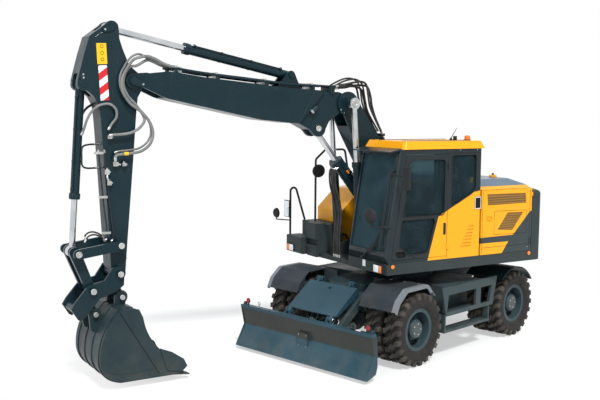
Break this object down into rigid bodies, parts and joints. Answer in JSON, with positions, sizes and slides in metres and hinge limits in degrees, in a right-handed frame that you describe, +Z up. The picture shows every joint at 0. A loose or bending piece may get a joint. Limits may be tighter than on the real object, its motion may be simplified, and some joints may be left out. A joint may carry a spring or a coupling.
{
  "type": "wheeled excavator",
  "caption": "Wheeled excavator with a two-piece boom, arm, coupler and bucket, a slewing upper with cab, twin tyres and a dozer blade.",
  "frame": {"origin": "on the ground under the swing centre", "axes": "+X towards the dozer blade, +Y to the left of the undercarriage, +Z up; the upper structure and the boom are parked turned 14.5 degrees towards -Y"},
  "size_m": [7.2514, 3.4689, 4.6408],
  "materials": {
    "tyre": "matte",
    "grey_paint": "satin",
    "blade_paint": "satin",
    "yellow_paint": "gloss",
    "black_paint": "satin",
    "rod_chrome": "polished",
    "cast_engine": "rough",
    "window": "clear",
    "trim": "matte",
    "lamp": "gloss"
  },
  "bodies": {
    "chassis": {"chassis": "grey_paint", "fixed_axle": "grey_paint", "steer_axle": "grey_paint", "front_fenders": "grey_paint", "step_boxes": "grey_paint"},
    "wheel_front_left": {"tyres_front_left": "tyre", "rims_front_left": "grey_paint"},
    "wheel_front_right": {"tyres_front_right": "tyre", "rims_front_right": "grey_paint"},
    "wheel_rear_left": {"tyres_rear_left": "tyre", "rims_rear_left": "grey_paint"},
    "wheel_rear_right": {"tyres_rear_right": "tyre", "rims_rear_right": "grey_paint"},
    "knuckle_left": {"knuckle_left": "grey_paint"},
    "knuckle_right": {"knuckle_right": "grey_paint"},
    "blade_arms": {"blade_arms": "grey_paint"},
    "blade_links": {"blade_links": "grey_paint"},
    "blade": {"blade": "blade_paint"},
    "blade_barrel": {"blade_barrel": "grey_paint"},
    "blade_rod": {"blade_rod": "rod_chrome"},
    "upper": {"upper_frame": "grey_paint", "counterweight": "grey_paint", "engine": "cast_engine", "right_deck": "grey_paint", "tank_cover": "yellow_paint", "cab_shell": "black_paint", "cab_roof": "yellow_paint", "cab_glass": "window", "cab_interior": "trim", "handrails": "black_paint", "lamps": "lamp", "mirrors": "trim"},
    "hood": {"hood": "grey_paint"},
    "engine_door_left": {"engine_door_left": "yellow_paint"},
    "engine_door_right": {"engine_door_right": "yellow_paint"},
    "cab_door": {"cab_door": "black_paint", "door_glass": "window"},
    "lower_boom": {"lower_boom": "grey_paint"},
    "upper_boom": {"upper_boom": "grey_paint"},
    "arm": {"arm": "grey_paint"},
    "rocker": {"rocker": "grey_paint"},
    "bucket": {"bucket": "grey_paint", "coupler": "grey_paint"},
    "push_link": {"push_link": "grey_paint"},
    "lift_barrel": {"lift_barrel": "grey_paint"},
    "lift_rod": {"lift_rod": "rod_chrome"},
    "adjust_barrel": {"adjust_barrel": "grey_paint"},
    "adjust_rod": {"adjust_rod": "rod_chrome"},
    "arm_barrel": {"arm_barrel": "grey_paint"},
    "arm_rod": {"arm_rod": "rod_chrome"},
    "bucket_barrel": {"bucket_barrel": "grey_paint"},
    "bucket_rod": {"bucket_rod": "rod_chrome"}
  },
  "joints": [
    {"name": "swing", "type": "hinge", "parent": "chassis", "child": "upper", "pos_m": [0, 0, 1.22], "axis": [0, 0, 1], "continuous": true},
    {"name": "boom_lift", "type": "hinge", "parent": "upper", "child": "lower_boom", "pos_m": [0.09114, -0.12686, 1.86], "axis": [-0.2504, -0.9681, 0], "range_deg": [-35, 20]},
    {"name": "lift_barrel_tilt", "type": "hinge", "parent": "upper", "child": "lift_barrel", "pos_m": [0.82693, -0.31715, 1.45], "axis": [-0.2504, -0.9681, 0], "range_deg": [-32.43, 18.96]},
    {"name": "lift_rod_slide", "type": "slide", "parent": "lift_barrel", "child": "lift_rod", "axis": [0.0745, -0.0193, 0.997], "range_m": [-0.5118, 0.2967]},
    {"name": "boom_adjust", "type": "hinge", "parent": "lower_boom", "child": "upper_boom", "pos_m": [0.99152, -0.35971, 3.652], "axis": [-0.2504, -0.9681, 0], "range_deg": [-30, 22]},
    {"name": "adjust_barrel_tilt", "type": "hinge", "parent": "lower_boom", "child": "adjust_barrel", "pos_m": [0.55585, -0.24704, 2.13], "axis": [-0.2504, -0.9681, 0], "range_deg": [-1.78, 2.07]},
    {"name": "adjust_rod_slide", "type": "slide", "parent": "adjust_barrel", "child": "adjust_rod", "axis": [0.6115, -0.1581, 0.7753], "range_m": [-0.3237, 0.2401]},
    {"name": "arm_curl", "type": "hinge", "parent": "upper_boom", "child": "arm", "pos_m": [4.21545, -1.19348, 3.9], "axis": [0.2504, 0.9681, 0], "range_deg": [-78, 18]},
    {"name": "arm_barrel_tilt", "type": "hinge", "parent": "upper_boom", "child": "arm_barrel", "pos_m": [1.91126, -0.59757, 4.04], "axis": [-0.2504, -0.9681, 0], "range_deg": [-1.32, 2.39]},
    {"name": "arm_rod_slide", "type": "slide", "parent": "arm_barrel", "child": "arm_rod", "axis": [0.9501, -0.2457, 0.1921], "range_m": [-0.9139, 0.2186]},
    {"name": "bucket_curl", "type": "hinge", "parent": "arm", "child": "bucket", "pos_m": [4.42554, -1.24781, 1.431], "axis": [0.2504, 0.9681, 0], "range_deg": [-60, 60]},
    {"name": "rocker_swing", "type": "hinge", "parent": "arm", "child": "rocker", "pos_m": [4.43231, -1.24956, 1.81], "axis": [0.2504, 0.9681, 0], "range_deg": [-45.26, 45.26]},
    {"name": "push_link_swing", "type": "hinge", "parent": "bucket", "child": "push_link", "pos_m": [4.7731, -1.3377, 1.24], "axis": [0.2504, 0.9681, 0], "range_deg": [-43.72, 43.72]},
    {"name": "bucket_barrel_tilt", "type": "hinge", "parent": "arm", "child": "bucket_barrel", "pos_m": [4.82538, -1.35122, 3.845], "axis": [-0.2504, -0.9681, 0], "range_deg": [-2.24, 2.24]},
    {"name": "bucket_rod_slide", "type": "slide", "parent": "bucket_barrel", "child": "bucket_rod", "axis": [0.0664, -0.0172, -0.9976], "range_m": [-0.4116, 0.4116]},
    {"name": "blade_lift", "type": "hinge", "parent": "chassis", "child": "blade_arms", "pos_m": [1.47, 0, 0.94], "axis": [0, -1, 0], "range_deg": [-7, 33]},
    {"name": "blade_level", "type": "hinge", "parent": "blade_arms", "child": "blade", "pos_m": [2.02, 0, 0.535], "axis": [0, -1, 0], "range_deg": [-34, 8]},
    {"name": "blade_link_swing", "type": "hinge", "parent": "chassis", "child": "blade_links", "pos_m": [1.48, 0, 1.08], "axis": [0, -1, 0], "range_deg": [-8, 34]},
    {"name": "blade_barrel_tilt", "type": "hinge", "parent": "chassis", "child": "blade_barrel", "pos_m": [1.5, 0, 0.96], "axis": [0, -1, 0], "range_deg": [-7.07, 29.6]},
    {"name": "blade_rod_slide", "type": "slide", "parent": "blade_barrel", "child": "blade_rod", "axis": [0.61, 0, -0.7924], "range_m": [-0.1305, 0.0356]},
    {"name": "steer_left", "type": "hinge", "parent": "chassis", "child": "knuckle_left", "pos_m": [-1.41, 0.5, 0.519], "axis": [0, 0, 1], "range_deg": [-28, 28]},
    {"name": "steer_right", "type": "hinge", "parent": "chassis", "child": "knuckle_right", "pos_m": [-1.41, -0.5, 0.519], "axis": [0, 0, 1], "range_deg": [-28.5, 28.5]},
    {"name": "wheel_front_left", "type": "hinge", "parent": "chassis", "child": "wheel_front_left", "pos_m": [1.1, 1.11, 0.519], "axis": [0, 1, 0], "continuous": true},
    {"name": "wheel_front_right", "type": "hinge", "parent": "chassis", "child": "wheel_front_right", "pos_m": [1.1, -1.11, 0.519], "axis": [0, 1, 0], "continuous": true},
    {"name": "wheel_rear_left", "type": "hinge", "parent": "knuckle_left", "child": "wheel_rear_left", "pos_m": [-1.41, 1.11, 0.519], "axis": [0, 1, 0], "continuous": true},
    {"name": "wheel_rear_right", "type": "hinge", "parent": "knuckle_right", "child": "wheel_rear_right", "pos_m": [-1.41, -1.11, 0.519], "axis": [0, 1, 0], "continuous": true},
    {"name": "cab_door", "type": "hinge", "parent": "upper", "child": "cab_door", "pos_m": [0.4299, 1.18304, 2.2], "axis": [0, 0, 1], "range_deg": [0, 90]},
    {"name": "engine_door_left", "type": "hinge", "parent": "upper", "child": "engine_door_left", "pos_m": [-1.19658, 1.60368, 1.9], "axis": [0, 0, 1], "range_deg": [0, 75]},
    {"name": "engine_door_right", "type": "hinge", "parent": "upper", "child": "engine_door_right", "pos_m": [-1.82404, -0.8225, 1.9], "axis": [0, 0, -1], "range_deg": [0, 75]},
    {"name": "hood", "type": "hinge", "parent": "upper", "child": "hood", "pos_m": [-0.50247, 0.12995, 2.412], "axis": [0.2504, 0.9681, 0], "range_deg": [0, 45]}
  ],
  "couplings": [
    {"joint": "lift_barrel_tilt", "follows": "boom_lift", "ratio": 0.89814},
    {"joint": "lift_rod_slide", "follows": "boom_lift", "m_per_rad": 0.8214},
    {"joint": "adjust_barrel_tilt", "follows": "boom_adjust", "ratio": -0.03567},
    {"joint": "adjust_rod_slide", "follows": "boom_adjust", "m_per_rad": 0.59915},
    {"joint": "arm_barrel_tilt", "follows": "arm_curl", "ratio": -0.01781},
    {"joint": "arm_rod_slide", "follows": "arm_curl", "m_per_rad": 0.66394},
    {"joint": "rocker_swing", "follows": "bucket_curl", "ratio": 0.73771},
    {"joint": "push_link_swing", "follows": "bucket_curl", "ratio": -0.71196},
    {"joint": "bucket_barrel_tilt", "follows": "bucket_curl", "ratio": -0.02059},
    {"joint": "bucket_rod_slide", "follows": "bucket_curl", "m_per_rad": 0.38352},
    {"joint": "blade_level", "follows": "blade_lift", "ratio": -1},
    {"joint": "blade_link_swing", "follows": "blade_lift", "ratio": 1},
    {"joint": "blade_barrel_tilt", "follows": "blade_lift", "ratio": 0.86674},
    {"joint": "blade_rod_slide", "follows": "blade_lift", "m_per_rad": -0.20927},
    {"joint": "steer_right", "follows": "steer_left", "ratio": 1}
  ]
}
